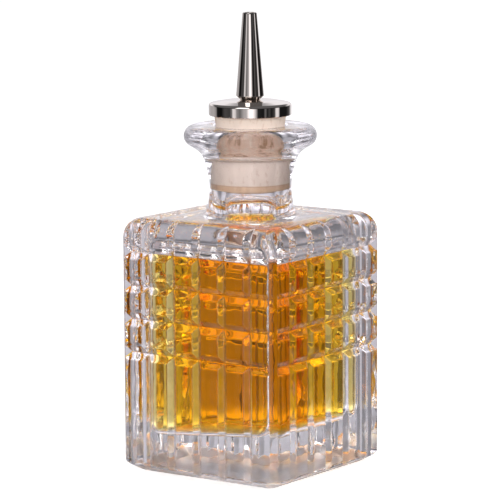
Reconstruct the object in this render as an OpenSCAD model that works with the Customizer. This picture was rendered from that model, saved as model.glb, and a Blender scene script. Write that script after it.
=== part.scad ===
// Bitters bottle: a square cut-glass flask with a corked metal dash pourer.
// Millimetres. +Z is up, the origin is the centre of the base, and the wide
// face of the picture looks along -Y.

/* [Glass body] */
// Width of the square body across two opposite faces
body_w = 52; // [46:0.5:60]
// Height of the flat top of the body above the table
body_h = 71; // [66:0.5:90]
// Thickness of the side walls
wall = 5.9; // [4.5:0.1:7]
// Thickness of the glass under the liquid
base_t = 13.5; // [6:0.5:18]
// Thickness of the glass over the hollow
shoulder_t = 4.5; // [3.5:0.1:6]
// Radius of the hollow's inner edges and corners
hollow_r = 4; // [2:0.5:6]
// Radius of the rounded shoulder edge
shoulder_r = 4.3; // [3.4:0.1:6]
// Width of the flat cut down each upright corner, measured along a face
corner_cut = 1.6; // [1:0.1:2.4]
// How far the bevel round the foot reaches in
foot_bevel_in = 3.7; // [2:0.1:5]
// Height of the bevel round the foot
foot_bevel_h = 2.05; // [1:0.05:3.5]
// Radius of the shallow dish in the underside
dish_r = 17; // [10:0.5:19]
// Depth of the shallow dish in the underside
dish_depth = 0.8; // [0.3:0.1:1.5]

/* [Cut pattern] */
// Number of upright columns on each face
columns = 6; // [4:1:7]
// Extra width that the outer column has beside its corner
column_margin = 0.32; // [0:0.04:1.2]
// Depth of every groove
groove_depth = 1.45; // [0.8:0.05:1.8]
// Half the width of an upright groove where it opens
column_groove_half = 1.45; // [0.8:0.05:1.8]
// Number of level grooves on each face
row_grooves = 4; // [2:1:5]
// Distance of the first level groove below the flat top
first_row_drop = 9.3; // [8:0.1:11]
// Distance between level grooves
row_pitch = 9.35; // [7:0.05:11]
// Half the height of a level groove where it opens
row_groove_half = 1.85; // [1:0.05:2.4]
// Length over which a level groove runs out before a corner
run_out = 1.5; // [1:0.1:2.5]

/* [Neck and lip] */
// Height of the lip's top above the flat top of the body
neck_h = 25; // [23:0.5:32]
// Outer radius of the neck where it meets the body
neck_foot_r = 12.25; // [11.8:0.05:14]
// Outer radius of the waist, before its corner is blended
waist_r = 11.1; // [10.6:0.1:11.8]
// Height of the waist above the body
waist_z = 8.75; // [7:0.25:11]
// Outer radius under the lip, before its corner is blended
flare_r = 13.3; // [12.4:0.1:14.5]
// Distance of the flare below the lip's top
flare_drop = 7.7; // [7:0.1:9]
// Outer radius of the lip
lip_r = 18.45; // [17:0.05:20]
// Height of the lip's rim, before its corners are rounded
lip_t = 4.5; // [4:0.1:5.5]
// Radius of the lip's rounding
lip_round = 2.85; // [1.5:0.05:3]
// Radius of the hollow curve through the waist
waist_blend = 15; // [8:1:18]
// Radius of the hollow curve under the lip
flare_blend = 6; // [3:0.5:8]
// Radius of the rounding inside the mouth
mouth_round = 1.1; // [0.5:0.1:1.5]
// Radius of the blend between the neck and the body
foot_fillet = 2.8; // [1:0.2:3.6]
// Radius of the blend inside, between the throat and the hollow
throat_fillet = 3; // [1:0.2:4]

/* [Contents] */
// Height of the liquid's surface above the table
fill_z = 61.5; // [30:0.5:62]

/* [Cork] */
// Radius of the cork where it passes the lip's top
cork_mouth_r = 9.65; // [9.3:0.05:9.9]
// Radius of the cork's lower part, which the straight bore grips
cork_tip_r = 7.1; // [6:0.1:7.6]
// Radius of the cork's upper part where it rests on the ledge in the bore
cork_ledge_r = 8.85; // [8:0.05:9.2]
// Depth of the ledge below the lip's top
ledge_drop = 7.2; // [6:0.1:9]
// Height over which the ledge slopes in to the straight bore
ledge_h = 1; // [0.5:0.1:2]
// Rounding of the glass where the ledge turns into the straight bore
ledge_round = 0.4; // [0.2:0.1:0.6]
// How deep the cork reaches below the lip's top
cork_depth = 18.3; // [14:0.1:20]
// Height of the cork that stands out between the lip and the cap
cork_proud = 2.8; // [1:0.1:6]
// Bevel at the cork's lower edge
cork_bevel = 0.5; // [0.2:0.1:1]
// Radial clearance of the cork in its seat
seat_gap = 0.05; // [0.02:0.01:0.1]

/* [Metal pourer] */
// Outer radius of the cap
cap_r = 11.5; // [11.3:0.1:13]
// Sheet thickness of the cap
cap_wall = 0.9; // [0.6:0.05:1]
// Height of the cap's straight skirt
cap_skirt = 2.9; // [2:0.1:4]
// Height of the low dome on the cap, above the skirt
cap_dome = 1.3; // [1:0.1:2]
// How far the cap's outer edge rises above the skirt
cap_rim = 0.4; // [0.2:0.1:0.6]
// Radius of the cap's outer edge
cap_edge_r = 0.8; // [0.4:0.1:0.9]
// Radius of the spout's open tip
spout_tip_r = 1.98; // [1.7:0.02:2.5]
// Radius of the spout at its widest, just above the foot
spout_wide_r = 3.9; // [3:0.1:4.5]
// Radius of the spout's foot on the cap
spout_foot_r = 2.7; // [2.5:0.1:2.9]
// Height of the spout's bevelled foot
spout_foot_h = 1.1; // [0.8:0.1:2]
// Length of the spout above the cap
spout_l = 24.1; // [18:0.5:34]
// Wall of the spout at its tip
spout_wall = 0.6; // [0.4:0.05:0.8]
// Outer radius of the tube through the cork
tube_r = 2.6; // [2.3:0.1:3.2]
// Wall of the tube
tube_wall = 0.5; // [0.4:0.05:0.7]
// How far the spout's spigot reaches down the tube
spigot_l = 6; // [3:0.5:9]
// Length of the dash plug inside the tube
plug_l = 4; // [2:0.5:7]
// Thickness of the dash plug's head under the tube
plug_head = 0.8; // [0.5:0.1:1.4]
// Radius of the small hole that meters a dash
dash_hole_r = 0.6; // [0.4:0.05:0.9]
// Radial clearance between the pieces of the pourer
part_gap = 0.04; // [0.02:0.01:0.08]

/* [Hidden] */
$fn = 96;

// How far a cutter reaches past the surface that it cuts
over = 0.6;
// Steps in each blended corner of a turned outline
arc_steps = 14;
// Thickness of air left between the liquid and the glass
film = 0.03;
// Extra distance that the corner flats lean in at the shoulder and at the foot
corner_lean = 1.4;

half_w = body_w / 2;
column_pitch = (body_w - 2 * column_margin) / columns;
shoulder_z = body_h - shoulder_r;
first_row_z = body_h - first_row_drop;
lip_z = body_h + neck_h;
hollow_half = half_w - wall;
hollow_top = body_h - shoulder_t;
ledge_z = lip_z - ledge_drop;
cork_slope = (cork_mouth_r - cork_ledge_r) / ledge_drop;
cork_tip_z = lip_z - cork_depth;
cap_z = lip_z + cork_proud;
cap_ceiling = cap_z + cap_skirt;
cap_top = cap_ceiling + cap_dome;
cap_inner_r = cap_r - cap_wall;
tip_z = cap_top + spout_l;
tube_bore_r = tube_r - tube_wall;
spigot_r = tube_bore_r - part_gap;
tube_end_z = cork_tip_z + plug_head;
cork_hole_r = tube_r + part_gap;

// Radius of the cork's tapered upper part
function cork_r(z) = cork_ledge_r + cork_slope * (z - ledge_z);

// Points of a circular arc round c, from angle a0 to angle a1
function arc(c, r, a0, a1, n = arc_steps) =
    [for (i = [0 : n]) let (a = a0 + (a1 - a0) * i / n) c + r * [cos(a), sin(a)]];

// The corner at b of the path a-b-c, blended by an arc of radius r
function blend(a, b, c, r) =
    let (u = (a - b) / norm(a - b), w = (c - b) / norm(c - b))
    let (half = acos(u * w) / 2)
    let (centre = b + (u + w) / norm(u + w) * r / sin(half))
    let (start = b + u * r / tan(half), end = b + w * r / tan(half))
    let (a0 = atan2(start.y - centre.y, start.x - centre.x))
    let (a1 = atan2(end.y - centre.y, end.x - centre.x))
    let (turn = a1 - a0 > 180 ? a1 - a0 - 360 : a1 - a0 < -180 ? a1 - a0 + 360 : a1 - a0)
    arc(centre, r, a0, a0 + turn);

// A closed outline whose corners are [x, y, blend radius]
function rounded(path) =
    [for (i = [0 : len(path) - 1])
        let (n = len(path), p = path[i])
        let (a = path[(i + n - 1) % n], c = path[(i + 1) % n])
        each p.z > 0 ? blend([a.x, a.y], [p.x, p.y], [c.x, c.y], p.z) : [[p.x, p.y]]];

// Upright outline of the body: bevelled foot, rounded shoulder
module body_outline(half, bevel_in, bevel_h, r) {
    difference() {
        polygon([[-half + bevel_in, 0], [half - bevel_in, 0], [half, bevel_h],
                 [half, body_h], [-half, body_h], [-half, bevel_h]]);
        for (side = [-1, 1]) {
            difference() {
                translate([side * half - (side + 1) / 2 * r, body_h - r]) square([r, r]);
                translate([side * (half - r), body_h - r]) circle(r);
            }
        }
    }
}

// The body's outline carried straight through the width
module outline_bar(half, bevel_in, bevel_h, r) {
    rotate([90, 0, 0])
        linear_extrude(height = 4 * half_w, center = true)
            body_outline(half, bevel_in, bevel_h, r);
}

module body_block() {
    corner_half = (body_w - corner_cut) / sqrt(2);
    intersection() {
        outline_bar(half_w, foot_bevel_in, foot_bevel_h, shoulder_r);
        rotate([0, 0, 90]) outline_bar(half_w, foot_bevel_in, foot_bevel_h, shoulder_r);
        for (turn = [45, 135]) {
            rotate([0, 0, turn])
                outline_bar(corner_half, foot_bevel_in + corner_lean, foot_bevel_h + corner_lean / 2,
                            shoulder_r + corner_lean);
        }
    }
}

// One upright groove of the -Y face, fading out over the rounded shoulder
module column_groove() {
    reach = 1 + over / groove_depth;
    // The groove's bottom follows an arc that meets the flat top where the rounding ends
    inset = groove_depth * (2 * shoulder_r - groove_depth) / (2 * (shoulder_r - groove_depth));
    bottom_r = inset + shoulder_r - groove_depth;
    translate([0, -half_w, -over]) {
        linear_extrude(height = shoulder_z + over)
            polygon([[0, groove_depth], [-column_groove_half * reach, -over],
                     [column_groove_half * reach, -over]]);
    }
    translate([0, -half_w + shoulder_r + inset, shoulder_z]) {
        rotate([90, 0, -90])
            rotate_extrude(angle = 90)
                polygon([[bottom_r, 0],
                         [bottom_r + groove_depth + over, -column_groove_half * reach],
                         [bottom_r + groove_depth + over, column_groove_half * reach]]);
    }
}

// One level groove of the -Y face, with a three-cornered run-out at each end
module row_groove() {
    reach = 1 + over / groove_depth;
    end_x = half_w - corner_cut;
    intersection() {
        rotate([90, 0, 90])
            linear_extrude(height = body_w + 2 * run_out, center = true)
                polygon([[-half_w + groove_depth, 0], [-half_w - over, row_groove_half * reach],
                         [-half_w - over, -row_groove_half * reach]]);
        linear_extrude(height = 4 * row_groove_half, center = true)
            polygon([[end_x - run_out, -half_w + groove_depth],
                     [end_x + run_out * (reach - 1), -half_w - over],
                     [-end_x - run_out * (reach - 1), -half_w - over],
                     [-end_x + run_out, -half_w + groove_depth]]);
    }
}

module cut_pattern() {
    for (turn = [0 : 90 : 270]) {
        rotate([0, 0, turn]) {
            for (i = [1 : columns - 1]) {
                translate([(i - columns / 2) * column_pitch, 0, 0]) column_groove();
            }
            for (i = [0 : row_grooves - 1]) {
                translate([0, 0, first_row_z - i * row_pitch]) row_groove();
            }
        }
    }
}

// Neck, flare and lip, turned about the axis
module neck() {
    under_lip_z = lip_z - lip_t;
    under_lip_slope = atan2(flare_drop - lip_t, lip_r - flare_r);
    // The upper rounding takes what the lower one leaves of the rim
    top_round = min(lip_round, lip_t - lip_round * tan(45 - under_lip_slope / 2) - film);
    rotate_extrude()
        polygon(rounded([
            [0, body_h - shoulder_t / 2, 0],
            [neck_foot_r + foot_fillet + over, body_h - shoulder_t / 2, 0],
            [neck_foot_r + foot_fillet + over, body_h, 0],
            [neck_foot_r, body_h, foot_fillet],
            [waist_r, body_h + waist_z, waist_blend],
            [flare_r, lip_z - flare_drop, flare_blend],
            [lip_r, under_lip_z, lip_round],
            [lip_r, lip_z, top_round],
            [0, lip_z, 0]
        ]));
}

// Level outline of the hollow: a square with round corners
module hollow_outline(half, r) {
    square([2 * half, 2 * (half - r)], center = true);
    square([2 * (half - r), 2 * half], center = true);
    for (x = [-1, 1], y = [-1, 1]) translate([x, y] * (half - r)) circle(r);
}

// The hollow from z0 to z1, drawn in by gap on every side
module hollow(z0, z1, gap, round_top) {
    half = hollow_half - gap;
    intersection() {
        translate([0, 0, z0]) linear_extrude(height = z1 - z0) hollow_outline(half, hollow_r);
        for (turn = [0, 90]) {
            rotate([0, 0, turn])
                rotate([90, 0, 0])
                    linear_extrude(height = body_w, center = true)
                        polygon(rounded([
                            [-half, z0, hollow_r],
                            [half, z0, hollow_r],
                            [half, z1, round_top ? hollow_r : 0],
                            [-half, z1, round_top ? hollow_r : 0]
                        ]));
        }
    }
}

// The throat: tapered mouth, ledge, straight bore and the blend into the hollow
module throat() {
    bore_r = cork_tip_r + seat_gap;
    rotate_extrude()
        polygon(rounded([
            [0, hollow_top - hollow_r, 0],
            [bore_r + throat_fillet + over, hollow_top - hollow_r, 0],
            [bore_r + throat_fillet + over, hollow_top, 0],
            [bore_r, hollow_top, throat_fillet],
            [bore_r, ledge_z - ledge_h, ledge_round],
            [cork_r(ledge_z) + seat_gap, ledge_z, 0],
            [cork_r(lip_z) + seat_gap, lip_z, mouth_round],
            [cork_r(lip_z) + 2 * mouth_round, lip_z, 0],
            [cork_r(lip_z) + 2 * mouth_round, lip_z + over, 0],
            [0, lip_z + over, 0]
        ]));
}

// Shallow dish in the underside, part of a large ball
module base_dish() {
    ball_r = (dish_r * dish_r + dish_depth * dish_depth) / (2 * dish_depth);
    translate([0, 0, dish_depth - ball_r]) sphere(ball_r);
}

module bottle() {
    color([0.85, 0.85, 0.88, 0.45])
        difference() {
            union() {
                difference() {
                    body_block();
                    cut_pattern();
                }
                neck();
            }
            hollow(base_t, hollow_top, 0, true);
            throat();
            base_dish();
        }
}

module bitters() {
    color([0.82, 0.5, 0.03, 0.85])
        hollow(base_t + film, fill_z, film, false);
}

// Cork: straight where the bore grips it, tapered in the mouth, straight in the cap
module cork() {
    color([0.9, 0.78, 0.64])
        rotate_extrude()
            polygon([
                [cork_hole_r, cork_tip_z],
                [cork_tip_r - cork_bevel, cork_tip_z],
                [cork_tip_r, cork_tip_z + cork_bevel],
                [cork_tip_r, ledge_z - ledge_h],
                [cork_r(ledge_z), ledge_z],
                [cork_r(cap_z), cap_z],
                [cork_r(cap_z), cap_ceiling],
                [cork_hole_r, cap_ceiling]
            ]);
}

// Pressed metal cap: a low dome with a straight skirt round the cork's head
module cap_flange() {
    rim_z = cap_ceiling + cap_rim;
    rise = cap_top - rim_z;
    reach = cap_r - spout_foot_r;
    dome_r = (reach * reach + rise * rise) / (2 * rise);
    // The dome ends level at the spout's foot and meets the rim's rounding at a slope
    rim_angle = acos((reach - 2 * cap_edge_r) / dome_r);
    color([0.78, 0.78, 0.8])
        rotate_extrude()
            polygon(rounded([
                [spigot_r + part_gap, cap_ceiling, 0],
                [cap_inner_r, cap_ceiling, 0],
                [cap_inner_r, cap_z, 0],
                [cap_r, cap_z, 0],
                [cap_r, rim_z, cap_edge_r],
                each [for (p = arc([spout_foot_r, cap_top - dome_r], dome_r, rim_angle, 90)) [p.x, p.y, 0]],
                [spigot_r + part_gap, cap_top, 0]
            ]));
}

// Turned spout: a long hollow cone with a bevelled foot and a spigot
module spout() {
    spigot_z = cap_ceiling - spigot_l;
    bore_r = spigot_r - tube_wall;
    color([0.8, 0.8, 0.82])
        rotate_extrude()
            polygon([
                [bore_r, spigot_z],
                [spigot_r, spigot_z],
                [spigot_r, cap_top],
                [spout_foot_r, cap_top],
                [spout_wide_r, cap_top + spout_foot_h],
                [spout_tip_r, tip_z],
                [spout_tip_r - spout_wall, tip_z],
                [bore_r, cap_top + spout_foot_h]
            ]);
}

// Thin tube that carries the liquid through the cork
module shank_tube() {
    color([0.72, 0.72, 0.74])
        difference() {
            translate([0, 0, tube_end_z]) cylinder(h = cap_ceiling - tube_end_z, r = tube_r);
            translate([0, 0, tube_end_z - 1]) cylinder(h = cap_ceiling - tube_end_z + 2, r = tube_bore_r);
        }
}

// Plug in the tube's lower end, with the small hole that meters a dash
module dash_insert() {
    color([0.92, 0.92, 0.9])
        difference() {
            union() {
                translate([0, 0, cork_tip_z]) cylinder(h = plug_head, r = tube_r);
                translate([0, 0, tube_end_z]) cylinder(h = plug_l, r = tube_bore_r - part_gap);
            }
            translate([0, 0, cork_tip_z - 1]) cylinder(h = plug_head + plug_l + 2, r = dash_hole_r);
        }
}

bottle();
bitters();
cork();
cap_flange();
spout();
shank_tube();
dash_insert();
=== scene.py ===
"""Bitters bottle: cut glass, amber bitters, a cork and a polished dash pourer."""

import math

import bpy
from bpy.props import FloatProperty, FloatVectorProperty, IntProperty, PointerProperty
from mathutils import Matrix, Vector


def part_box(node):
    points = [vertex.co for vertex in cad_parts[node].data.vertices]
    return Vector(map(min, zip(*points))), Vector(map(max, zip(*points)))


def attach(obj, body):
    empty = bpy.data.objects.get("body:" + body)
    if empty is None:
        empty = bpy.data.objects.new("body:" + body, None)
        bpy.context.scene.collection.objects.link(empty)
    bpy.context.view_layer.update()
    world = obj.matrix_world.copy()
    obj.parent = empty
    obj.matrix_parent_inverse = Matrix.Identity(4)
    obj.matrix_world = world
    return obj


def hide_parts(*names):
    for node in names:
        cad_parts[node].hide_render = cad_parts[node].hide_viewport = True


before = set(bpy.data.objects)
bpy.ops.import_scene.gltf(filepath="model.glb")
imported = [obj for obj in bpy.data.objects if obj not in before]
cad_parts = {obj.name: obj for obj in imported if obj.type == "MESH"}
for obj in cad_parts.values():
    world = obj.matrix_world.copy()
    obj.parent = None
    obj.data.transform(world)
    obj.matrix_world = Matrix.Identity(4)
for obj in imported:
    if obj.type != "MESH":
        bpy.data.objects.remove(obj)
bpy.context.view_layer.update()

bl_info = {
    "name": "Bitters bottle",
    "version": (1, 0, 0),
    "blender": (4, 5, 0),
    "location": "3D View > Sidebar > Bottle",
    "description": "Builds the glass, the liquid, the cork and the metal pourer of a bitters bottle",
    "category": "Add Mesh",
}

MM = 0.001


def node_mm(name):
    """Lowest and highest corner of a solid of the frame, in millimetres."""
    return [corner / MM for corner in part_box(name)]


# All sizes are in millimetres, and come from the frame where it gives them

# The body, its corner flats, the bevel round its foot and the dish under it
HALF_W = node_mm("bottle")[1].x
BODY_H = 71.0
SHOULDER_R = 4.3
CORNER_CUT = 1.6
CORNER_LEAN = 1.4
EDGE_R = 0.35
EDGE_REACH = EDGE_R * math.tan(math.pi / 8)
FOOT_IN = 3.7
FOOT_H = 2.05
FOOT_LOW_R = 0.9
FOOT_HIGH_R = 1.1
DISH_R = 17.0
DISH_DEPTH = 0.8
DISH_EDGE = 0.6

# The cut pattern of each face: upright and level V grooves
GROOVE = 1.45
SOFT_EDGE = 0.25
COLUMNS = 6
COLUMN_MARGIN = 0.32
COLUMN_PITCH = (2 * HALF_W - 2 * COLUMN_MARGIN) / COLUMNS
COLUMN_HALF = 1.45
ROWS = 4
FIRST_ROW_Z = BODY_H - 9.3
ROW_PITCH = 9.35
ROW_HALF = 1.85
RUN_OUT = 1.5
FACE_EDGE = HALF_W - CORNER_CUT - EDGE_REACH

# The hollow with its falling floor, and the liquid in it
FLOOR_Z = 13.5
FLOOR_FALL = 0.085
CEILING_Z = BODY_H - 4.5
HOLLOW_HALF = HALF_W - 5.9
HOLLOW_R = 4.0
FILM = 0.03
WET_RISE = 0.62
# The liquid's rim where it climbs the wall: (distance in, height)
RIM_CLIMB = ((0.0, 0.0), (0.0, 0.6), (0.15, 0.42), (0.4, 0.24), (0.9, 0.1), (1.6, 0.03), (2.4, 0.0))

# The neck, its waist, its lip and the throat with the ledge that the cork sits on
LIP_Z = node_mm("bottle")[1].z
LIP_R = 18.45
LIP_H = 4.5
LIP_BLEND = 2.85
NECK_FOOT_R = 12.25
NECK_FOOT_BLEND = 2.8
WAIST_R = 11.1
WAIST_Z = BODY_H + 8.75
NECK_TOP_R = 13.3
NECK_TOP_Z = LIP_Z - 7.7
LEDGE_Z = LIP_Z - 7.2
LEDGE_H = 1.0
THROAT_BLEND = 3.0
SEAT_GAP = 0.05

# The cork
CORK_TIP_Z = node_mm("cork")[0].z
CORK_TIP_R = 7.1
CORK_LEDGE_R = 8.85
CORK_LIP_R = 9.65
CORK_BORE_R = 2.64
CORK_PRESS = 0.03

# The cap over the cork's head
CAP_Z, CAP_TOP = node_mm("cap_flange")[0].z, node_mm("cap_flange")[1].z
CAP_R = node_mm("cap_flange")[1].x
CAP_CEILING = CAP_Z + 2.9
CAP_WALL = 0.9
CAP_CROWN = 1.3
CAP_BORE_R = 2.1

# The spout, its bevelled foot and the spigot below it
TIP_Z = node_mm("spout")[1].z
TIP_R = 1.98
TIP_BORE_R = 1.38
SPOUT_R = 3.9
SPOUT_FOOT_R = 2.7
SPOUT_FOOT_H = 1.1
SPOUT_BORE_R = 1.56
SPIGOT_R = 2.06
SPIGOT_H = 7.3

# Where the lines of the mesh run: shares of a groove's half width, of the foot's bevel and of the dish
CUT_LINES = (0, 0.07, 0.17, 0.45, 0.7, 0.83, 0.94, 1.06, 1.17, 1.3)
FOOT_LINES = (0.35, 0.5, 0.65, 0.78)
DISH_LINES = (0.15, 0.4, 0.65, 0.85, 0.96, 1.0)
SIDE_LINES = (-0.97, -0.5, 0.0, 0.5, 0.97)
# Further out than this on a face, the lines are drawn along with the corner flat
FIXED_HALF = 19.05
BLEND_STEPS = 8
FOOT_STEPS = 5
SHOULDER_STEPS = 14
NECK_STEPS = 160
DISH_STEPS = 96

# How strongly each surface bends light
GLASS_IOR = 1.51
WETTED_IOR = 1.19
LIQUID_IOR = 1.34


# Outlines

def arc_corner(a, b, c, radius, steps):
    """The corner b of the path a-b-c, rounded by an arc."""
    a, b, c = Vector(a), Vector(b), Vector(c)
    u, w = (a - b).normalized(), (c - b).normalized()
    half = math.acos(max(-1.0, min(1.0, u.dot(w)))) / 2
    centre = b + (u + w).normalized() * radius / math.sin(half)
    p, q = b + u * radius / math.tan(half) - centre, b + w * radius / math.tan(half) - centre
    turn = math.atan2(p.x * q.y - p.y * q.x, p.dot(q))
    start = math.atan2(p.y, p.x)
    return [centre + radius * Vector((math.cos(start + turn * i / steps),
                                      math.sin(start + turn * i / steps)))
            for i in range(steps + 1)]


def rounded(path, steps=BLEND_STEPS, closed=True):
    """A path whose corners are (x, z, blend radius)."""
    points = []
    for i, (x, y, radius) in enumerate(path):
        if radius <= 0 or (not closed and i in (0, len(path) - 1)):
            points.append(Vector((x, y)))
            continue
        before, after = path[i - 1], path[(i + 1) % len(path)]
        points += arc_corner(before[:2], (x, y), after[:2], radius, steps)
    return points


def held(points, closed=True, reach=0.3):
    """The path with a point near both ends of each long stretch, which keeps its shading straight."""
    ends = points[1:] + points[:1] if closed else points[1:]
    path = []
    for a, b in zip(points, ends):
        path.append(a)
        length = (b - a).length
        if length > 3 * reach:
            path += [a.lerp(b, reach / length), b.lerp(a, reach / length)]
    return path if closed else path + [points[-1]]


def soft_max(a, b, k):
    """The larger of two cuts, with the edge between them rounded off."""
    h = max(k - abs(a - b), 0.0) / k
    return max(a, b) + h * h * k / 4


# Mesh helpers

def new_object(name, data):
    """An object for a mesh, a lamp or a camera, put in the scene."""
    obj = bpy.data.objects.new(name, data)
    bpy.context.scene.collection.objects.link(obj)
    return obj


def only(obj):
    """Select this object alone and make it active."""
    bpy.ops.object.select_all(action="DESELECT")
    obj.select_set(True)
    bpy.context.view_layer.objects.active = obj


def turned(name, outline, steps):
    """A turned piece: an outline of (radius, height) in mm, spun about the axis."""
    mesh = bpy.data.meshes.new(name)
    points = [(p.x * MM, 0, p.y * MM) for p in held(outline)]
    edges = [(i, (i + 1) % len(points)) for i in range(len(points))]
    mesh.from_pydata(points, edges, [])
    obj = new_object(name, mesh)
    only(obj)
    bpy.ops.object.mode_set(mode="EDIT")
    bpy.ops.mesh.select_all(action="SELECT")
    bpy.ops.mesh.spin(steps=steps, angle=math.tau, center=(0, 0, 0), axis=(0, 0, 1))
    bpy.ops.mesh.select_all(action="SELECT")
    bpy.ops.mesh.remove_doubles(threshold=1e-6)
    bpy.ops.mesh.normals_make_consistent(inside=False)
    bpy.ops.object.mode_set(mode="OBJECT")
    bpy.ops.object.shade_smooth_by_angle(angle=math.radians(30))
    return obj


class Shell:
    """A closed skin made of level loops, joined from the first to the last."""

    def __init__(self):
        self.points, self.faces, self.last = [], [], None

    def loop(self, points, middles=None):
        """Add a loop of points in mm and join it to the loop before it."""
        first = len(self.points)
        self.points += [Vector(p) * MM for p in points]
        indices = list(range(first, first + len(points)))
        if self.last is None:
            self.faces.append(indices[::-1])
        elif len(self.last) == len(indices):
            self.strip(self.last, indices, middles)
        else:
            self.stitch(self.last, indices)
        self.last = indices

    def strip(self, low, high, middles):
        """Quads between loops of equal count, split along the truer diagonal where a middle is given."""
        n = len(low)
        for i in range(n):
            a, b, c, d = low[i], low[(i + 1) % n], high[(i + 1) % n], high[i]
            middle = middles[i] if middles else None
            if middle is None:
                self.faces.append([a, b, c, d])
                continue
            middle = Vector(middle) * MM
            ac = (self.points[a] + self.points[c]) / 2 - middle
            bd = (self.points[b] + self.points[d]) / 2 - middle
            if ac.length <= bd.length:
                self.faces += [[a, b, c], [a, c, d]]
            else:
                self.faces += [[a, b, d], [b, c, d]]

    def stitch(self, low, high):
        """Triangles between loops of different count, matched by their angle."""
        def turns(indices):
            angles = [math.atan2(self.points[i].y, self.points[i].x) + 0.75 * math.pi for i in indices]
            first = angles[0] % math.tau
            first = first - math.tau if first > math.pi else first
            found = [first]
            for before, after in zip(angles, angles[1:] + angles[:1]):
                found.append(found[-1] + (after - before) % math.tau)
            if found[-1] - found[0] > math.tau + 0.01:
                raise ValueError("A loop of the skin turns back on itself")
            return found

        low_turns, high_turns = turns(low), turns(high)
        i = j = 0
        while i < len(low) or j < len(high):
            a, b = low[i % len(low)], high[j % len(high)]
            if j >= len(high) or (i < len(low) and low_turns[i + 1] <= high_turns[j + 1]):
                self.faces.append([a, low[(i + 1) % len(low)], b])
                i += 1
            else:
                self.faces.append([a, high[(j + 1) % len(high)], b])
                j += 1

    def close(self):
        """Close the skin over the last loop."""
        self.faces.append(self.last)

    def build(self, name, second_from=None):
        """Make the object. Faces from the given one on take the second material slot."""
        mesh = bpy.data.meshes.new(name)
        mesh.from_pydata(self.points, [], self.faces)
        if second_from is not None:
            slots = [int(i >= second_from) for i in range(len(self.faces))]
            mesh.polygons.foreach_set("material_index", slots)
        obj = new_object(name, mesh)
        only(obj)
        bpy.ops.object.mode_set(mode="EDIT")
        bpy.ops.mesh.select_all(action="SELECT")
        bpy.ops.mesh.remove_doubles(threshold=1e-6)
        bpy.ops.mesh.select_all(action="DESELECT")
        bpy.ops.object.mode_set(mode="OBJECT")
        bpy.ops.object.shade_smooth_by_angle(angle=math.radians(38))
        return obj


def circle(radius, z, count):
    """A level circle, from the front left."""
    return [(radius * math.cos(math.tau * i / count - 0.75 * math.pi),
             radius * math.sin(math.tau * i / count - 0.75 * math.pi), z) for i in range(count)]


def round_square(half, corner, z):
    """Level outline of the hollow: a square with round corners, from its front left corner."""
    points = []
    for k in range(4):
        turn = Matrix.Rotation(k * math.pi / 2, 2)
        for x in SIDE_LINES:
            p = turn @ Vector((x * (half - corner), -half))
            points.append((p.x, p.y, z))
        for i in range(BLEND_STEPS + 1):
            angle = -math.pi / 2 + math.pi / 2 * i / BLEND_STEPS
            p = turn @ Vector((half - corner + corner * math.cos(angle),
                               -half + corner + corner * math.sin(angle)))
            points.append((p.x, p.y, z))
    return points


# The cut body

def groove_cut(distance, half):
    """Depth of a V groove with a softened bottom, below zero outside it."""
    return GROOVE * (1 - math.hypot(distance / half, 0.06))


def column_offset(u):
    """Distance from u to the nearest upright groove."""
    reach = (COLUMNS - 2) / 2
    nearest = max(-reach, min(reach, round(u / COLUMN_PITCH)))
    return abs(u - nearest * COLUMN_PITCH)


def wall_cut(u, z):
    """Depth of the pattern on the flat part of a face."""
    cut = soft_max(0.0, groove_cut(column_offset(u), COLUMN_HALF), SOFT_EDGE)
    row = max(0, min(ROWS - 1, round((FIRST_ROW_Z - z) / ROW_PITCH)))
    level = groove_cut(abs(z - FIRST_ROW_Z + row * ROW_PITCH), ROW_HALF)
    level = min(level, (FACE_EDGE - abs(u)) * GROOVE / RUN_OUT)
    return soft_max(cut, level, SOFT_EDGE)


def shoulder_cut(u, angle):
    """Depth of an upright groove where it fades out over the rounded shoulder."""
    inset = GROOVE * (2 * SHOULDER_R - GROOVE) / (2 * (SHOULDER_R - GROOVE))
    radius = inset + SHOULDER_R - groove_cut(column_offset(u), COLUMN_HALF)
    t = -inset * math.cos(angle) + math.sqrt(max(radius ** 2 - (inset * math.sin(angle)) ** 2, 0.0))
    return soft_max(0.0, SHOULDER_R - t, SOFT_EDGE)


def face_lines():
    """Places of the upright mesh lines on one face."""
    ends = [FACE_EDGE - RUN_OUT * (1 - f) for f in CUT_LINES if f <= 1] + [FACE_EDGE]
    lines = {round(side * end, 5) for end in ends for side in (-1, 1)}
    for i in range(COLUMNS - 1):
        centre = (i - (COLUMNS - 2) / 2) * COLUMN_PITCH
        lines |= {round(centre + side * f * COLUMN_HALF, 5) for f in CUT_LINES for side in (-1, 1)}
    return sorted(lines)


def face_rows():
    """Levels of the mesh on one face: ("wall", inset, z) or ("shoulder", angle, 0)."""
    foot = rounded([(FOOT_IN + 2.0, 0, 0), (FOOT_IN, 0, FOOT_LOW_R), (0, FOOT_H, FOOT_HIGH_R),
                    (0, FOOT_H + 3, 0)], FOOT_STEPS, closed=False)[1:-1]
    bevel = [Vector((FOOT_IN * (1 - t), FOOT_H * t)) for t in FOOT_LINES]
    middle = FOOT_STEPS + 1
    rows = [("wall", p.x, p.y) for p in foot[:middle] + bevel + foot[middle:]]
    rows += [("wall", 0.0, z) for z in (FOOT_H + 1.2, 12.0, 22.0)]
    shares = sorted({side * f for f in CUT_LINES for side in (-1, 1)})
    for i in reversed(range(ROWS)):
        rows += [("wall", 0.0, FIRST_ROW_Z - i * ROW_PITCH + f * ROW_HALF) for f in shares]
    spring = BODY_H - SHOULDER_R
    rows += [("wall", 0.0, spring - 1.2), ("wall", 0.0, spring - 0.5)]
    turns = range(SHOULDER_STEPS + 1)
    return rows + [("shoulder", math.pi / 2 * i / SHOULDER_STEPS, 0.0) for i in turns]


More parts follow.
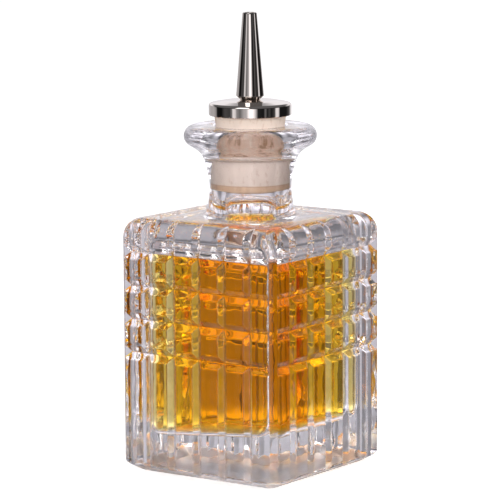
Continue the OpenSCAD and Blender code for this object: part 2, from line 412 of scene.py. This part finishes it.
def row_place(row):
    """Inset and height of a row where nothing is cut."""
    kind, a, z = row
    if kind == "wall":
        return a, z
    return SHOULDER_R * (1 - math.cos(a)), BODY_H - SHOULDER_R + SHOULDER_R * math.sin(a)


def corner_reach(inset, z):
    """How far along a face the corner flat starts, from the face's middle."""
    out = (2 * HALF_W - CORNER_CUT) / math.sqrt(2)
    foot_top, round_r = FOOT_H + CORNER_LEAN / 2, SHOULDER_R + CORNER_LEAN
    if z < foot_top:
        out -= (FOOT_IN + CORNER_LEAN) * (1 - z / foot_top)
    if z > BODY_H - round_r:
        out += math.sqrt(max(round_r ** 2 - (z - BODY_H + round_r) ** 2, 0.0)) - round_r
    return math.sqrt(2) * out - (HALF_W - inset)


def face_point(u, row):
    """Point of the front face in (along, outward, up), with the pattern cut in."""
    kind, a, _ = row
    inset, z = row_place(row)
    reach = corner_reach(inset, z) - EDGE_REACH
    if kind == "wall":
        inset = soft_max(inset, wall_cut(u, z), SOFT_EDGE) if inset > 0 else wall_cut(u, z)
    else:
        t = SHOULDER_R - shoulder_cut(u, a)
        inset, z = SHOULDER_R - t * math.cos(a), BODY_H - SHOULDER_R + t * math.sin(a)
    if abs(u) > FIXED_HALF:
        share = (reach - FIXED_HALF) / (FACE_EDGE - FIXED_HALF)
        u = math.copysign(FIXED_HALF + (abs(u) - FIXED_HALF) * share, u)
    return u, HALF_W - inset, z


def corner_points(row):
    """Points round the corner flat after the front face, in (along, outward, up)."""
    inset, z = row_place(row)
    out, reach = HALF_W - inset, corner_reach(inset, z)
    path = [(0, out), (reach, out), (out, reach), (out, 0)]
    first = arc_corner(path[0], path[1], path[2], EDGE_R, 3)
    second = arc_corner(path[1], path[2], path[3], EDGE_R, 3)
    middle = (first[-1] + second[0]) / 2
    return [(p.x, p.y, z) for p in first[1:] + [middle] + second[:-1]]


def to_world(points, k):
    """Turn (along, outward, up) points of the front face to face k."""
    c, s = (1, 0, -1, 0)[k], (0, 1, 0, -1)[k]
    return [(x * c + y * s, x * s - y * c, z) for x, y, z in points]


def body_loop(row, lines):
    """One level loop round all four faces and corner flats."""
    face = [face_point(u, row) for u in lines] + corner_points(row)
    return [p for k in range(4) for p in to_world(face, k)]


def body_middles(before, row, lines):
    """Middle points of the cells between two rows, where the cut decides how a cell is split."""
    if before[0] != row[0]:
        return None
    middle = (row[0], (before[1] + row[1]) / 2, (before[2] + row[2]) / 2)
    face = [face_point((a + b) / 2, middle) for a, b in zip(lines, lines[1:])]
    blank = [None] * (len(corner_points(row)) + 1)
    return [p for k in range(4) for p in to_world(face, k) + blank]


def drawn_in(loop, distance):
    """A level loop of the body, drawn in towards the axis."""
    share = 1 - distance / max(abs(p[0]) for p in loop)
    return [(x * share, y * share, z) for x, y, z in loop]


def neck_profile():
    """Outline of the neck from the body's top, over the lip and down the throat."""
    return held(rounded([
        (17.0, BODY_H, 0), (NECK_FOOT_R, BODY_H, NECK_FOOT_BLEND), (WAIST_R, WAIST_Z, 15),
        (NECK_TOP_R, NECK_TOP_Z, 6), (LIP_R, LIP_Z - LIP_H, LIP_BLEND), (LIP_R, LIP_Z, LIP_BLEND),
        (CORK_LIP_R + SEAT_GAP, LIP_Z, 1.1), (CORK_LEDGE_R + SEAT_GAP, LEDGE_Z, 0.3),
        (CORK_TIP_R + SEAT_GAP, LEDGE_Z - LEDGE_H, 0.4), (CORK_TIP_R + SEAT_GAP, CEILING_Z, THROAT_BLEND),
        (14.0, CEILING_Z, 0),
    ], steps=12, closed=False), closed=False)


def fallen(loop):
    """A loop of the inner floor, which runs down towards -X as it did in the mould."""
    return [(x, y, z + FLOOR_FALL * (x - HOLLOW_HALF)) for x, y, z in loop]


def hollow_loops(grow, low_z, high_z):
    """The hollow's rounded end loops: the floor's, from the wall down, then the ceiling's, upwards."""
    floor, ceiling = [], []
    for i in range(BLEND_STEPS + 1):
        angle = math.pi / 2 * i / BLEND_STEPS
        inset, rise = HOLLOW_R * (1 - math.cos(angle)), HOLLOW_R * math.sin(angle)
        half, corner = HOLLOW_HALF + grow - inset, HOLLOW_R - inset * 0.97
        floor.append(fallen(round_square(half, corner, low_z + HOLLOW_R - rise)))
        ceiling.append(round_square(half, corner, high_z - HOLLOW_R + rise))
    return floor, ceiling


def make_glass(name, fill_z):
    """The bottle's closed skin. Faces that the liquid wets get the second material slot."""
    shell = Shell()
    ball = (DISH_R ** 2 + DISH_DEPTH ** 2) / (2 * DISH_DEPTH)
    for share in DISH_LINES:
        radius = DISH_R * share
        shell.loop(circle(radius, DISH_DEPTH - ball + math.sqrt(ball ** 2 - radius ** 2), DISH_STEPS))
    shell.loop(circle(DISH_R + DISH_EDGE, 0.0, DISH_STEPS))
    lines, rows = face_lines(), face_rows()
    shell.loop(drawn_in(body_loop(rows[0], lines), DISH_EDGE))
    before = None
    for row in rows:
        shell.loop(body_loop(row, lines), body_middles(before, row, lines) if before else None)
        before = row
    for distance in (0.3, 0.8):
        shell.loop(drawn_in(body_loop(rows[-1], lines), distance))
    for p in neck_profile():
        shell.loop(circle(p.x, p.y, NECK_STEPS))
    floor, ceiling = hollow_loops(0, FLOOR_Z, CEILING_Z)
    for loop in ceiling[::-1]:
        shell.loop(loop)
    shell.loop(round_square(HOLLOW_HALF, HOLLOW_R, fill_z + WET_RISE))
    wet_from = len(shell.faces)
    for loop in floor:
        shell.loop(loop)
    shell.close()
    return shell.build(name, wet_from)


def make_liquid(name, fill_z):
    """The liquid, a hair inside the glass, with its edge drawn up a little by the wall."""
    shell = Shell()
    floor, _ = hollow_loops(-FILM, FLOOR_Z + FILM, CEILING_Z)
    for loop in floor[::-1]:
        shell.loop(loop)
    for inset, rise in RIM_CLIMB:
        shell.loop(round_square(HOLLOW_HALF - FILM - inset, HOLLOW_R - inset * 0.9, fill_z + rise))
    shell.close()
    return shell.build(name)


# Node helpers

def material(name):
    """A new material with its node tree, its shader and the object's own coordinates."""
    mat = bpy.data.materials.new(name)
    mat.use_nodes = True
    tree = mat.node_tree
    shader = tree.nodes["Principled BSDF"]
    place = tree.nodes.new("ShaderNodeTexCoord")
    return mat, tree, shader, place.outputs["Object"]


def noise(tree, place, scale, detail=2.0, roughness=0.5, stretch=None):
    """Soft noise over a place. A stretch below one draws it out along that axis."""
    node = tree.nodes.new("ShaderNodeTexNoise")
    node.inputs["Scale"].default_value = scale
    node.inputs["Detail"].default_value = detail
    node.inputs["Roughness"].default_value = roughness
    if stretch:
        mapping = tree.nodes.new("ShaderNodeMapping")
        mapping.inputs["Scale"].default_value = stretch
        tree.links.new(place, mapping.inputs["Vector"])
        place = mapping.outputs["Vector"]
    tree.links.new(place, node.inputs["Vector"])
    return node.outputs["Fac"]


def ramp(tree, value, stops):
    """A run of colours: stops are (place from 0 to 1, colour)."""
    node = tree.nodes.new("ShaderNodeValToRGB")
    elements = node.color_ramp.elements
    while len(elements) < len(stops):
        elements.new(0.5)
    for element, (at, colour) in zip(elements, stops):
        element.position = at
        element.color = (*colour, 1)
    tree.links.new(value, node.inputs["Fac"])
    return node.outputs["Color"]


def bump(tree, height, strength, distance, before=None):
    """A skin raised by a height, on top of an earlier bump if one is given."""
    node = tree.nodes.new("ShaderNodeBump")
    node.inputs["Strength"].default_value = strength
    node.inputs["Distance"].default_value = distance
    tree.links.new(height, node.inputs["Height"])
    if before:
        tree.links.new(before, node.inputs["Normal"])
    return node.outputs["Normal"]


def mixed(tree, factor, a, b, how="MIX"):
    """Two colours mixed, by a number or by another node's value."""
    node = tree.nodes.new("ShaderNodeMix")
    node.data_type = "RGBA"
    node.blend_type = how
    if isinstance(factor, float):
        node.inputs["Factor"].default_value = factor
    else:
        tree.links.new(factor, node.inputs["Factor"])
    tree.links.new(a, node.inputs["A"])
    tree.links.new(b, node.inputs["B"])
    return node.outputs["Result"]


def calc(tree, what, *terms):
    """One step of arithmetic on numbers and other nodes' values."""
    node = tree.nodes.new("ShaderNodeMath")
    node.operation = what
    for socket, value in zip(node.inputs, terms):
        if isinstance(value, float):
            socket.default_value = value
        else:
            tree.links.new(value, socket)
    return node.outputs[0]


def ranged(tree, value, low, high):
    """Zero at low and one at high, and held outside them."""
    node = tree.nodes.new("ShaderNodeMapRange")
    node.inputs["From Min"].default_value = low
    node.inputs["From Max"].default_value = high
    tree.links.new(value, node.inputs["Value"])
    return node.outputs["Result"]


def window(tree, value, low, high, soft):
    """One between low and high, zero outside, with soft edges."""
    rise = ranged(tree, value, low - soft, low + soft)
    fall = ranged(tree, value, high + soft, high - soft)
    return calc(tree, "MINIMUM", rise, fall)


def axes(tree, place):
    """The x, y and z of a place."""
    node = tree.nodes.new("ShaderNodeSeparateXYZ")
    tree.links.new(place, node.inputs[0])
    return node.outputs


def one_colour(tree, colour):
    """One even colour."""
    node = tree.nodes.new("ShaderNodeRGB")
    node.outputs[0].default_value = (*colour, 1)
    return node.outputs[0]


# Materials

def glass_material(name, tint, ior):
    """Clear pressed glass with soft waves in its skin and a roughened, scuffed underside."""
    mat, tree, shader, place = material(name)
    shader.inputs["IOR"].default_value = ior
    shader.inputs["Transmission Weight"].default_value = 1.0
    x, y, z = axes(tree, place)
    low = ranged(tree, z, (FOOT_H + 0.2) * MM, (FOOT_H - 0.6) * MM)
    reach = calc(tree, "MAXIMUM", calc(tree, "ABSOLUTE", x), calc(tree, "ABSOLUTE", y))
    rim = ranged(tree, reach, (HALF_W - FOOT_IN - 0.8) * MM, (HALF_W - FOOT_IN) * MM)
    bevel = calc(tree, "MULTIPLY", low, rim)
    scuffed = ranged(tree, noise(tree, place, 260, 3.0, 0.6), 0.3, 0.7)
    rough = calc(tree, "MULTIPLY_ADD", bevel, calc(tree, "MULTIPLY_ADD", scuffed, 0.25, 0.2),
                 calc(tree, "MULTIPLY", low, 0.3))
    tree.links.new(rough, shader.inputs["Roughness"])
    tree.links.new(ramp(tree, low, [(0.0, tint), (1.0, (1, 1, 1))]), shader.inputs["Base Color"])
    waves = noise(tree, place, 110, 2.0)
    fine = noise(tree, place, 520, 3.0)
    soft = bump(tree, waves, 0.6, 0.0004)
    tree.links.new(bump(tree, fine, 0.2, 0.00005, soft), shader.inputs["Normal"])
    return mat


def liquid_material(colour, density, fill_z):
    """Amber liquid: it bends light only at its free surface, as the wetted glass bends it elsewhere."""
    mat, tree, shader, place = material("amber_bitters")
    shader.inputs["Base Color"].default_value = (1, 1, 1, 1)
    shader.inputs["Transmission Weight"].default_value = 1.0
    shader.inputs["IOR"].default_value = LIQUID_IOR
    shader.inputs["Roughness"].default_value = 0.0
    clear = tree.nodes.new("ShaderNodeBsdfTransparent")
    free = calc(tree, "GREATER_THAN", axes(tree, place)["Z"], fill_z - 0.00001)
    surface = tree.nodes.new("ShaderNodeMixShader")
    tree.links.new(free, surface.inputs["Fac"])
    tree.links.new(clear.outputs[0], surface.inputs[1])
    tree.links.new(shader.outputs[0], surface.inputs[2])
    absorb = tree.nodes.new("ShaderNodeVolumeAbsorption")
    absorb.inputs["Color"].default_value = (*colour, 1)
    absorb.inputs["Density"].default_value = density
    tree.links.new(surface.outputs[0], tree.nodes["Material Output"].inputs["Surface"])
    tree.links.new(absorb.outputs["Volume"], tree.nodes["Material Output"].inputs["Volume"])
    return mat


def cork_material(colour):
    """Fine cork: streaked, stained where the drink wets its tip, and pitted where the mouth grips it."""
    mat, tree, shader, place = material("fine_cork")
    height = axes(tree, place)["Z"]
    grain = noise(tree, place, 900, 4.0, 0.6, stretch=(1, 1, 0.55))
    patch = noise(tree, place, 160, 3.0, 0.6, stretch=(1, 1, 0.35))
    holes = noise(tree, place, 420, 4.0, 0.65, stretch=(1, 1, 1.6))
    base = ramp(tree, patch, [(0.3, [c * 0.9 for c in colour]), (0.62, colour)])
    dark = ramp(tree, grain, [(0.3, (0.78, 0.68, 0.6)), (0.45, (1, 1, 1))])
    base = mixed(tree, 0.6, base, dark, "MULTIPLY")
    pits = ramp(tree, holes, [(0.36, (0.6, 0.4, 0.26)), (0.46, (1, 0.82, 0.66)), (0.62, (1, 0.94, 0.84))])
    in_mouth = window(tree, height, (LEDGE_Z + 1.2) * MM, (LIP_Z - 0.9) * MM, 0.5 * MM)
    base = mixed(tree, in_mouth, base, mixed(tree, 1.0, base, pits, "MULTIPLY"))
    stain = ramp(tree, ranged(tree, height, CORK_TIP_Z * MM, (CORK_TIP_Z + 3) * MM), [
        (0.0, (0.95, 0.8, 0.64)), (0.6, (0.92, 0.76, 0.6)), (0.7, (0.8, 0.62, 0.48)), (0.8, (1, 1, 1))])
    base = mixed(tree, 1.0, base, stain, "MULTIPLY")
    tree.links.new(base, shader.inputs["Base Color"])
    shader.inputs["Roughness"].default_value = 0.8
    tree.links.new(bump(tree, grain, 0.5, 0.00015), shader.inputs["Normal"])
    return mat


def chrome_material():
    """Polished chrome with faint smears and a slightly wavy face."""
    mat, tree, shader, place = material("polished_chrome")
    shader.inputs["Base Color"].default_value = (0.86, 0.8, 0.75, 1)
    shader.inputs["Metallic"].default_value = 1.0
    smear = noise(tree, place, 300, 4.0, 0.6)
    rough = tree.nodes.new("ShaderNodeMapRange")
    rough.inputs["To Min"].default_value = 0.01
    rough.inputs["To Max"].default_value = 0.04
    tree.links.new(smear, rough.inputs["Value"])
    tree.links.new(rough.outputs["Result"], shader.inputs["Roughness"])
    wave = noise(tree, place, 180, 2.0)
    tree.links.new(bump(tree, wave, 0.15, 0.0001), shader.inputs["Normal"])
    return mat


def plain_material(name, colour, metallic, roughness):
    """One even finish with faint darker patches."""
    mat, tree, shader, place = material(name)
    shader.inputs["Metallic"].default_value = metallic
    shader.inputs["Roughness"].default_value = roughness
    shade = ramp(tree, noise(tree, place, 500, 3.0), [(0.3, [c * 0.85 for c in colour]), (0.7, colour)])
    tree.links.new(shade, shader.inputs["Base Color"])
    return mat


def floor_material():
    """A pale sheet that the camera sees as white, with the object's shadow on it."""
    mat, tree, shader, _ = material("pale_floor")
    nodes, links = tree.nodes, tree.links
    shader.inputs["Base Color"].default_value = (0.9, 0.9, 0.9, 1)
    shader.inputs["Roughness"].default_value = 0.9
    path = nodes.new("ShaderNodeLightPath")
    glow = nodes.new("ShaderNodeEmission")
    glow.inputs["Strength"].default_value = 0.6
    both = nodes.new("ShaderNodeAddShader")
    seen = nodes.new("ShaderNodeMixShader")
    links.new(shader.outputs[0], both.inputs[0])
    links.new(glow.outputs[0], both.inputs[1])
    links.new(path.outputs["Is Camera Ray"], seen.inputs["Fac"])
    links.new(shader.outputs[0], seen.inputs[1])
    links.new(both.outputs[0], seen.inputs[2])
    links.new(seen.outputs[0], nodes["Material Output"].inputs["Surface"])
    return mat


def wear(obj, *finishes):
    """Give an object its materials, one for each slot."""
    slots = [face.material_index for face in obj.data.polygons]
    obj.data.materials.clear()
    for finish in finishes:
        obj.data.materials.append(finish)
    obj.data.polygons.foreach_set("material_index", slots)


# Studio

# The camera's turn from the front face, in degrees
VIEW_TURN = 35.538
# What the camera looks at, in metres
MIDDLE = (0, 0, 0.06)
# Even light that matt surfaces get from the room
PLAIN_LIGHT = 0.46
# Light that glass lets through: by the sine of the height, and by the angle from the picture's side
ROOM_HEIGHT = [(-1, 0.6), (-0.86, 0.5), (-0.76, 0.3), (-0.68, 0.5), (-0.56, 1.55), (-0.42, 1.6),
               (-0.3, 0.92), (-0.2, 0.56), (-0.08, 0.57), (0.0, 0.6), (0.08, 0.42), (0.18, 0.34),
               (0.3, 0.45), (0.5, 0.47), (1, 0.4)]
ROOM_TURN = [(-180, 1.0), (-164, 1.0), (-152, 0.5), (-135, 0.35), (-122, 0.9), (-108, 0.88),
             (-98, 0.12), (-80, 0.12), (-66, 1.0), (-40, 1.35), (0, 1.4), (40, 1.35), (66, 1.0),
             (80, 0.12), (98, 0.12), (108, 0.88), (122, 0.9), (135, 0.35), (152, 0.5), (164, 1.0),
             (180, 1.0)]
# Large soft lights, through glass and in mirrors: first and last angle, lowest and highest sine, strength
ROOM_SOFTBOX = (-80, 50, 0.6, 0.95, 7.2)
MIRROR_SOFTBOX = (-44, -4, 0.4, 0.85, 2.2)
# What surfaces mirror: near the level, above it, and overhead
MIRROR_LOW = [(-180, 0.85), (-140, 0.42), (-121, 0.45), (-110, 0.3), (-104, 0.01), (-86, 0.005),
              (-74, 0.07), (-58, 0.05), (-52, 0.2), (-49, 0.85), (-42, 0.75), (-38, 0.3),
              (-28, 0.15), (-17, 0.45), (-10, 0.5), (-4, 1.2), (1, 1.7), (9, 1.2), (16, 0.5),
              (21, 0.02), (38, 0.01), (43, 0.16), (48, 0.01), (55, 0.06), (61, 0.01), (72, 0.06),
              (77, 0.9), (85, 0.85), (90, 0.01), (120, 0.01), (140, 0.1), (152, 0.85)]
MIRROR_HIGH = [(-180, 0.95), (-140, 0.9), (-118, 0.05), (-80, 0.025), (80, 0.025), (118, 0.05),
               (140, 0.9), (180, 0.95)]
MIRROR_OVERHEAD = 0.12


def tone(value):
    """A grey of the room, with a trace of lilac."""
    return (value, value * 0.98, value * 1.02)


def turn_ramp(tree, share, stops):
    """Tones by the angle in degrees, from -180 to 180."""
    return ramp(tree, share, [(0.5 + angle / 360, tone(value)) for angle, value in stops])


def lit_by(tree, room, angle, z, softbox):
    """The room's tones with one large soft light added."""
    first, last, low, high, strength = softbox
    across = window(tree, angle, math.radians(first), math.radians(last), 0.06)
    upright = window(tree, z, low, high, 0.03)
    lit = calc(tree, "MULTIPLY", calc(tree, "MULTIPLY", across, upright), strength)
    return mixed(tree, 1.0, room, lit, "ADD")


def studio_world():
    """White for the camera, plain light for matt surfaces, and a room for glass and for mirrors."""
    world = bpy.data.worlds.new("studio")
    world.use_nodes = True
    tree = world.node_tree
    nodes, links = tree.nodes, tree.links
    place = nodes.new("ShaderNodeTexCoord")
    turn = nodes.new("ShaderNodeMapping")
    turn.vector_type = "POINT"
    turn.inputs["Rotation"].default_value = (0, 0, math.radians(-VIEW_TURN))
    links.new(place.outputs["Generated"], turn.inputs["Vector"])
    x, y, z = axes(tree, turn.outputs["Vector"])
    # After the turn, y is 1 straight behind the bottle and -1 on the picture's side
    angle = calc(tree, "ARCTAN2", x, calc(tree, "MULTIPLY", y, -1.0))
    share = ranged(tree, angle, -math.pi, math.pi)
    heights = ramp(tree, ranged(tree, z, -1, 1), [(0.5 + h / 2, tone(value)) for h, value in ROOM_HEIGHT])
    through = mixed(tree, 1.0, heights, turn_ramp(tree, share, ROOM_TURN), "MULTIPLY")
    through = lit_by(tree, through, angle, z, ROOM_SOFTBOX)
    mirrored = mixed(tree, ranged(tree, z, 0.11, 0.19), turn_ramp(tree, share, MIRROR_LOW),
                     turn_ramp(tree, share, MIRROR_HIGH))
    mirrored = mixed(tree, ranged(tree, z, 0.34, 0.46), mirrored, one_colour(tree, tone(MIRROR_OVERHEAD)))
    mirrored = lit_by(tree, mirrored, angle, z, MIRROR_SOFTBOX)
    path = nodes.new("ShaderNodeLightPath")
    room = mixed(tree, path.outputs["Is Glossy Ray"], one_colour(tree, [PLAIN_LIGHT] * 3), mirrored)
    # A ray let through by glass also counts as glossy, so this comes after the mirrored room
    room = mixed(tree, path.outputs["Is Transmission Ray"], room, through)
    room = mixed(tree, path.outputs["Is Camera Ray"], room, one_colour(tree, (1, 1, 1)))
    links.new(room, nodes["Background"].inputs["Color"])
    return world


def studio_camera():
    """The camera that took the picture: its angles, distance and lens were fitted to it."""
    azimuth, elevation, roll = math.radians(VIEW_TURN), math.radians(8.617), math.radians(-0.32)
    distance, aim_z, picture_px, focal_px, side_px = 0.923158, 0.060966, 500, 3321.0, 0.93
    back = Vector((math.sin(azimuth) * math.cos(elevation), -math.cos(azimuth) * math.cos(elevation),
                   math.sin(elevation)))
    right = Vector((math.cos(azimuth), math.sin(azimuth), 0))
    up = back.cross(right)
    x_axis = right * math.cos(roll) + up * math.sin(roll)
    y_axis = up * math.cos(roll) - right * math.sin(roll)
    data = bpy.data.cameras.new("camera")
    data.sensor_width = 36.0
    data.lens = focal_px / picture_px * data.sensor_width
    data.clip_start, data.clip_end = 0.05, 20.0
    camera = new_object("camera", data)
    place = Vector((0, 0, aim_z)) + back * distance - x_axis * side_px * distance / focal_px
    camera.matrix_world = Matrix((
        (x_axis.x, y_axis.x, back.x, place.x), (x_axis.y, y_axis.y, back.y, place.y),
        (x_axis.z, y_axis.z, back.z, place.z), (0, 0, 0, 1)))
    return camera


def area_light(name, place, width, height, power):
    """A soft lamp aimed at the bottle, hidden from mirrors and glass."""
    data = bpy.data.lights.new(name, "AREA")
    data.shape = "RECTANGLE"
    data.size, data.size_y, data.energy = width, height, power
    lamp = new_object(name, data)
    lamp.visible_glossy = lamp.visible_transmission = False
    lamp.location = place
    lamp.rotation_euler = (Vector(MIDDLE) - Vector(place)).to_track_quat("-Z", "Y").to_euler()
    return lamp


def round_about(azimuth, elevation, distance):
    """A place round the bottle: azimuth from the front face, elevation above the table."""
    a, e = math.radians(azimuth), math.radians(elevation)
    outward = Vector((math.sin(a) * math.cos(e), -math.cos(a) * math.cos(e), math.sin(e)))
    return Vector(MIDDLE) + distance * outward


# Settings, operators and panel

class BottleSettings(bpy.types.PropertyGroup):
    """Sizes, strengths and colours that a user would change"""
    glass_tint: FloatVectorProperty(
        name="Glass tint", description="Colour of the glass",
        subtype="COLOR", size=3, min=0, max=1, default=(0.968, 0.966, 0.986))
    liquid_colour: FloatVectorProperty(
        name="Liquid colour", description="Colour that the liquid lets through",
        subtype="COLOR", size=3, min=0, max=1, default=(0.956, 0.817, 0.0))
    liquid_density: FloatProperty(
        name="Liquid strength", description="How strongly the liquid colours light, per metre",
        default=165.0, min=1.0)
    fill_height: FloatProperty(
        name="Fill height", description="Height of the liquid's surface",
        unit="LENGTH", default=0.0615)
    cork_colour: FloatVectorProperty(
        name="Cork colour", description="Colour of the dry cork",
        subtype="COLOR", size=3, min=0, max=1, default=(0.94, 0.78, 0.66))
    turn_steps: IntProperty(
        name="Turning steps", description="Faces round each turned piece",
        default=96, min=24)


class BOTTLE_OT_glass(bpy.types.Operator):
    """Build the cut-glass bottle"""
    bl_idname = "bottle.glass"
    bl_label = "Glass"

    def execute(self, context):
        settings = context.scene.bottle_settings
        glass = make_glass("glass_bottle", settings.fill_height / MM)
        wear(glass, glass_material("cut_glass", settings.glass_tint, GLASS_IOR),
             glass_material("wetted_glass", settings.glass_tint, WETTED_IOR))
        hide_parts("bottle")
        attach(glass, "bottle")
        return {"FINISHED"}


class BOTTLE_OT_liquid(bpy.types.Operator):
    """Fill the bottle with amber bitters"""
    bl_idname = "bottle.liquid"
    bl_label = "Liquid"

    def execute(self, context):
        settings = context.scene.bottle_settings
        liquid = make_liquid("amber_liquid", settings.fill_height / MM)
        wear(liquid, liquid_material(settings.liquid_colour, settings.liquid_density, settings.fill_height))
        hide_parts("bitters")
        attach(liquid, "bottle")
        return {"FINISHED"}


class BOTTLE_OT_cork(bpy.types.Operator):
    """Turn the tapered cork"""
    bl_idname = "bottle.cork"
    bl_label = "Cork"

    def execute(self, context):
        settings = context.scene.bottle_settings
        top_r = CORK_LIP_R + (CORK_LIP_R - CORK_LEDGE_R) * (CAP_Z - LIP_Z) / (LIP_Z - LEDGE_Z)
        tip_r, grip_top = CORK_TIP_R + SEAT_GAP + CORK_PRESS, LEDGE_Z - LEDGE_H - 0.3
        outline = rounded([
            (CORK_BORE_R, CORK_TIP_Z, 0), (tip_r, CORK_TIP_Z, 0.5), (tip_r, grip_top, 0.3),
            (CORK_LEDGE_R - 0.12, LEDGE_Z, 0.6), (CORK_LIP_R - 0.1, LIP_Z, 6), (top_r, CAP_Z, 0),
            (top_r, CAP_CEILING, 0), (CORK_BORE_R, CAP_CEILING, 0),
        ], steps=6)
        cork = turned("cork_stopper", outline, settings.turn_steps)
        wear(cork, cork_material(settings.cork_colour))
        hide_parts("cork")
        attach(cork, "stopper")
        return {"FINISHED"}


class BOTTLE_OT_pourer(bpy.types.Operator):
    """Turn the metal cap and spout, and finish the tube and its plug"""
    bl_idname = "bottle.pourer"
    bl_label = "Pourer"

    def execute(self, context):
        settings = context.scene.bottle_settings
        chrome = chrome_material()
        inner_r, inner_z = CAP_R - CAP_WALL, CAP_TOP - CAP_CROWN
        cap = turned("cap_shell", rounded([
            (CAP_BORE_R, inner_z, 0), (inner_r, inner_z, 0.2), (inner_r, CAP_Z, 0.15), (CAP_R, CAP_Z, 0.25),
            (CAP_R, CAP_TOP - 0.9, 0.8), (7.0, CAP_TOP - 0.1, 12), (CAP_BORE_R, CAP_TOP, 0),
        ]), settings.turn_steps)
        spout_z, spigot_z = CAP_TOP + SPOUT_FOOT_H, CAP_TOP - SPIGOT_H
        spout = turned("spout_cone", rounded([
            (SPOUT_BORE_R, spigot_z, 0), (SPIGOT_R, spigot_z, 0), (SPIGOT_R, CAP_TOP, 0),
            (SPOUT_FOOT_R, CAP_TOP, 0.1), (SPOUT_R, spout_z, 0.25), (TIP_R, TIP_Z, 0.2),
            (TIP_BORE_R, TIP_Z, 0.15), (SPOUT_BORE_R, spout_z, 0),
        ], steps=4), settings.turn_steps)
        for obj, node in ((cap, "cap_flange"), (spout, "spout")):
            wear(obj, chrome)
            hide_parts(node)
            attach(obj, "stopper")
        wear(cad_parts["shank_tube"], plain_material("drawn_steel", (0.66, 0.66, 0.68), 1.0, 0.3))
        wear(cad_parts["dash_insert"], plain_material("moulded_plug", (0.9, 0.9, 0.88), 0.0, 0.45))
        return {"FINISHED"}


class BOTTLE_OT_stage(bpy.types.Operator):
    """Set up the floor, the studio light and the camera"""
    bl_idname = "bottle.stage"
    bl_label = "Stage"

    def execute(self, context):
        scene = context.scene
        scene.view_settings.view_transform = "Standard"
        # Cut glass turns light round inside it many times
        scene.cycles.max_bounces = scene.cycles.transmission_bounces = scene.cycles.glossy_bounces = 48
        bpy.ops.object.select_all(action="DESELECT")
        bpy.ops.mesh.primitive_plane_add(size=8.0, location=(0, 0, 0))
        floor = context.object
        floor.name = "studio_floor"
        # Glass and metal see the world's own floor tone in place of this sheet
        floor.visible_glossy = floor.visible_transmission = False
        wear(floor, floor_material())
        scene.world = studio_world()
        area_light("key_light", round_about(20, 14, 1.2), 0.6, 0.6, 7)
        area_light("fill_light", round_about(110, 25, 1.2), 0.5, 0.7, 4)
        area_light("top_light", (0, 0.1, 1.2), 0.8, 0.8, 3.5)
        scene.camera = studio_camera()
        return {"FINISHED"}


class BOTTLE_PT_panel(bpy.types.Panel):
    """Sizes, colours and building steps of the bottle"""
    bl_idname = "BOTTLE_PT_panel"
    bl_label = "Bitters bottle"
    bl_space_type = "VIEW_3D"
    bl_region_type = "UI"
    bl_category = "Bottle"

    def draw(self, context):
        settings = context.scene.bottle_settings
        for name in settings.bl_rna.properties.keys():
            if name not in ("rna_type", "name"):
                self.layout.prop(settings, name)
        for step in STEPS:
            self.layout.operator(step.bl_idname)


STEPS = (BOTTLE_OT_glass, BOTTLE_OT_liquid, BOTTLE_OT_cork, BOTTLE_OT_pourer, BOTTLE_OT_stage)
CLASSES = (BottleSettings, *STEPS, BOTTLE_PT_panel)


def register():
    for cls in CLASSES:
        bpy.utils.register_class(cls)
    bpy.types.Scene.bottle_settings = PointerProperty(type=BottleSettings)


def unregister():
    del bpy.types.Scene.bottle_settings
    for cls in reversed(CLASSES):
        bpy.utils.unregister_class(cls)


def main():
    register()
    bpy.ops.bottle.glass()
    bpy.ops.bottle.liquid()
    bpy.ops.bottle.cork()
    bpy.ops.bottle.pourer()
    bpy.ops.bottle.stage()


if __name__ == "__main__":
    main()
